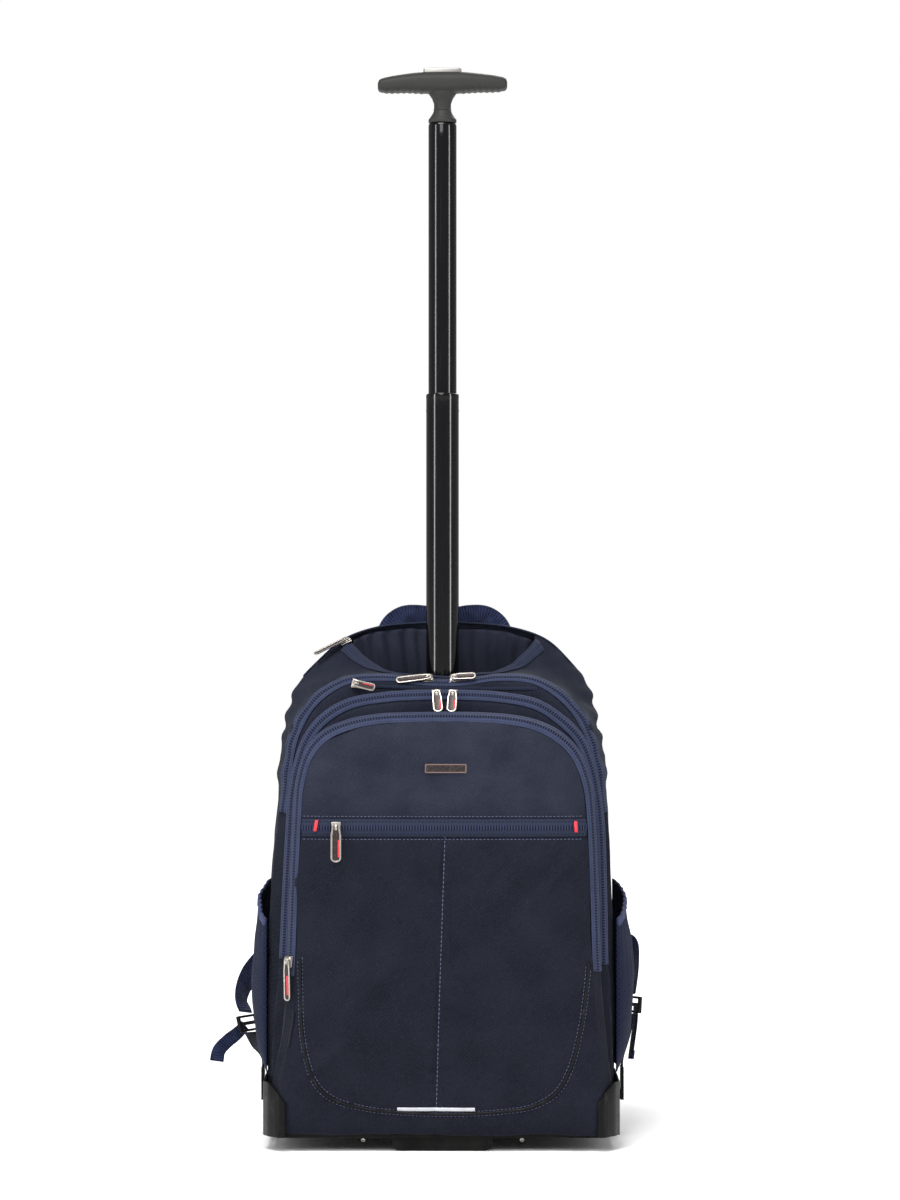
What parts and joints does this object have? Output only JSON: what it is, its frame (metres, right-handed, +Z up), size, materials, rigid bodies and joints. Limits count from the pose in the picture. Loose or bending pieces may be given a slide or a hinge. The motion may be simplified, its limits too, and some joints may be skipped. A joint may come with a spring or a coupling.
{
  "type": "wheeled backpack",
  "caption": "Wheeled backpack with layered zip compartments, mesh side pockets, shoulder straps, corner guards, a front foot and a telescoping pole handle with a T-grip.",
  "frame": {"origin": "on the floor, under the middle of the front foot", "axes": "+Z up, along the pole; the bag's front faces -Y and its back, with the straps, +Y; +X is to the right of someone who looks at the front"},
  "size_m": [0.4176, 0.2319, 1.0216],
  "materials": {
    "navy_twill": "matte",
    "zip_tape": "matte",
    "navy_mesh": "matte",
    "navy_webbing": "matte",
    "black_vinyl": "satin",
    "black_plastic": "matte",
    "black_lacquer": "gloss",
    "nickel": "satin",
    "red_tape": "matte",
    "reflective": "satin",
    "wheel_rubber": "matte"
  },
  "bodies": {
    "root": {"main_compartment": "navy_twill", "middle_compartment": "navy_twill", "front_pocket": "navy_twill", "front_zip_tape": "zip_tape", "middle_zip_tape": "zip_tape", "main_zip_tape": "zip_tape", "mouth_zip_tape": "zip_tape", "front_pocket_zip_tape": "zip_tape", "side_pocket_binding_left": "zip_tape", "side_pocket_binding_right": "zip_tape", "rear_panel_binding": "navy_webbing", "base_tray": "black_plastic", "front_foot": "black_plastic", "base_stud_left": "black_plastic", "base_stud_right": "black_plastic", "wheel_axle_left": "nickel", "wheel_axle_right": "nickel", "pole_housing": "black_plastic", "corner_guard_left": "black_vinyl", "corner_guard_right": "black_vinyl", "zip_end_tab_left": "red_tape", "zip_end_tab_right": "red_tape", "name_plate": "nickel", "panel_piping": "black_vinyl", "reflective_strip": "reflective", "front_zip_slider": "nickel", "side_zip_slider": "nickel", "middle_zip_slider_left": "nickel", "middle_zip_slider_right": "nickel", "main_zip_slider_left": "nickel", "main_zip_slider_right": "nickel", "mouth_zip_slider": "nickel", "small_pocket_zip_slider": "nickel", "side_pocket_left": "navy_mesh", "side_pocket_right": "navy_mesh", "back_padding": "navy_mesh", "shoulder_strap_left": "navy_mesh", "shoulder_strap_right": "navy_mesh", "lower_webbing_left": "navy_webbing", "lower_webbing_right": "navy_webbing", "anchor_webbing_left": "navy_webbing", "anchor_webbing_right": "navy_webbing", "webbing_tail_left": "navy_webbing", "webbing_tail_right": "navy_webbing", "strap_adjuster_left": "black_plastic", "strap_adjuster_right": "black_plastic", "strap_anchor_left": "black_vinyl", "strap_anchor_right": "black_vinyl", "grab_handle": "navy_webbing"},
    "lower_stage": {"lower_tube": "black_lacquer"},
    "upper_stage": {"upper_tube": "black_lacquer", "handle_grip": "black_plastic"},
    "grip_button": {"handle_button": "nickel"},
    "wheel_left": {"wheel_tyre_left": "wheel_rubber", "wheel_hub_left": "black_plastic"},
    "wheel_right": {"wheel_tyre_right": "wheel_rubber", "wheel_hub_right": "black_plastic"}
  },
  "joints": [
    {"name": "lower_slide", "type": "slide", "parent": "root", "child": "lower_stage", "axis": [0, 0, 1], "range_m": [-0.275, 0]},
    {"name": "upper_slide", "type": "slide", "parent": "lower_stage", "child": "upper_stage", "axis": [0, 0, 1], "range_m": [-0.258, 0]},
    {"name": "button_press", "type": "slide", "parent": "upper_stage", "child": "grip_button", "axis": [0, 0, 1], "range_m": [-0.003, 0], "stiffness_N_per_m": 400, "springref_m": 0.002},
    {"name": "wheel_left_spin", "type": "hinge", "parent": "root", "child": "wheel_left", "pos_m": [-0.133, 0.15, 0.028], "axis": [1, 0, 0], "continuous": true},
    {"name": "wheel_right_spin", "type": "hinge", "parent": "root", "child": "wheel_right", "pos_m": [0.133, 0.15, 0.028], "axis": [1, 0, 0], "continuous": true}
  ]
}
